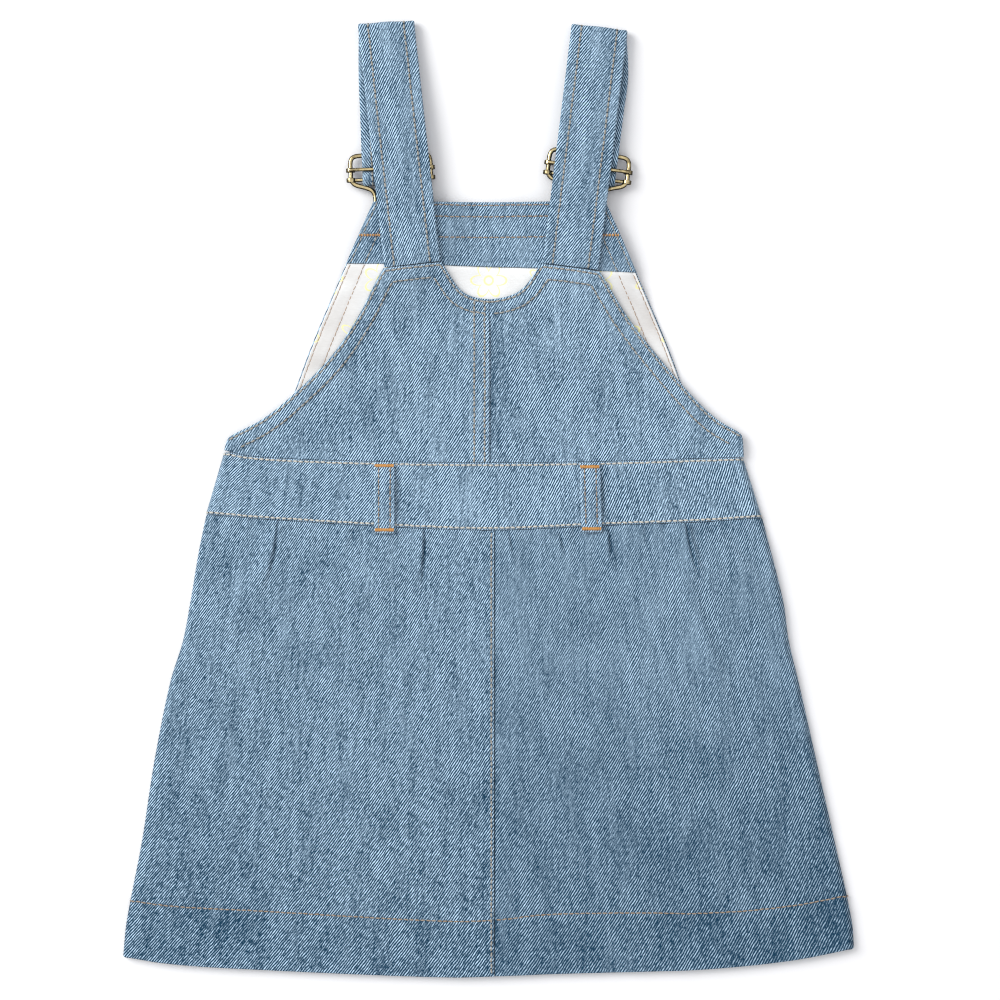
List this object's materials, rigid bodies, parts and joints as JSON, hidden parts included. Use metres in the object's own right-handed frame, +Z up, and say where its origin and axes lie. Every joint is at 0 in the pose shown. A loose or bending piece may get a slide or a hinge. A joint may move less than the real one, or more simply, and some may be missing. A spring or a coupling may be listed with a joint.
{
  "type": "pinafore dress",
  "caption": "Toddler's light denim pinafore dress laid flat, back up: gathered skirt on a waistband, V-cut back bodice, white-lined bib, folded shoulder straps with wire buckles.",
  "frame": {"origin": "on the floor, under the middle of the dress's bounding box", "axes": "+Z up, the back of the dress; +Y from the hem towards the shoulder straps; +X to the right as seen from above the back"},
  "size_m": [0.3834, 0.502, 0.011],
  "materials": {
    "denim": "light blue cotton denim, right-hand twill, washed",
    "lining": "white plain-weave cotton with a pale yellow printed line pattern",
    "brass": "antique brass, aged and satin",
    "thread": "tan topstitching thread",
    "bar_tack": "orange bar tack thread"
  },
  "bodies": {
    "root": {"front_skirt": "denim", "front_waistband": "denim", "front_bib": "denim", "bib_facing": "denim", "bib_lining": "lining", "back_skirt_left": "denim", "back_skirt_right": "denim", "back_waistband": "denim", "back_bodice_left": "denim", "back_bodice_right": "denim", "shoulder_strap_left": "denim", "shoulder_strap_right": "denim", "belt_loop_left": "denim", "belt_loop_right": "denim", "buckle_frame_left": "brass", "buckle_frame_right": "brass", "buckle_upper_bar_left": "brass", "buckle_upper_bar_right": "brass", "buckle_lower_bar_left": "brass", "buckle_lower_bar_right": "brass", "bib_button_left": "brass", "bib_button_right": "brass"}
  },
  "joints": []
}
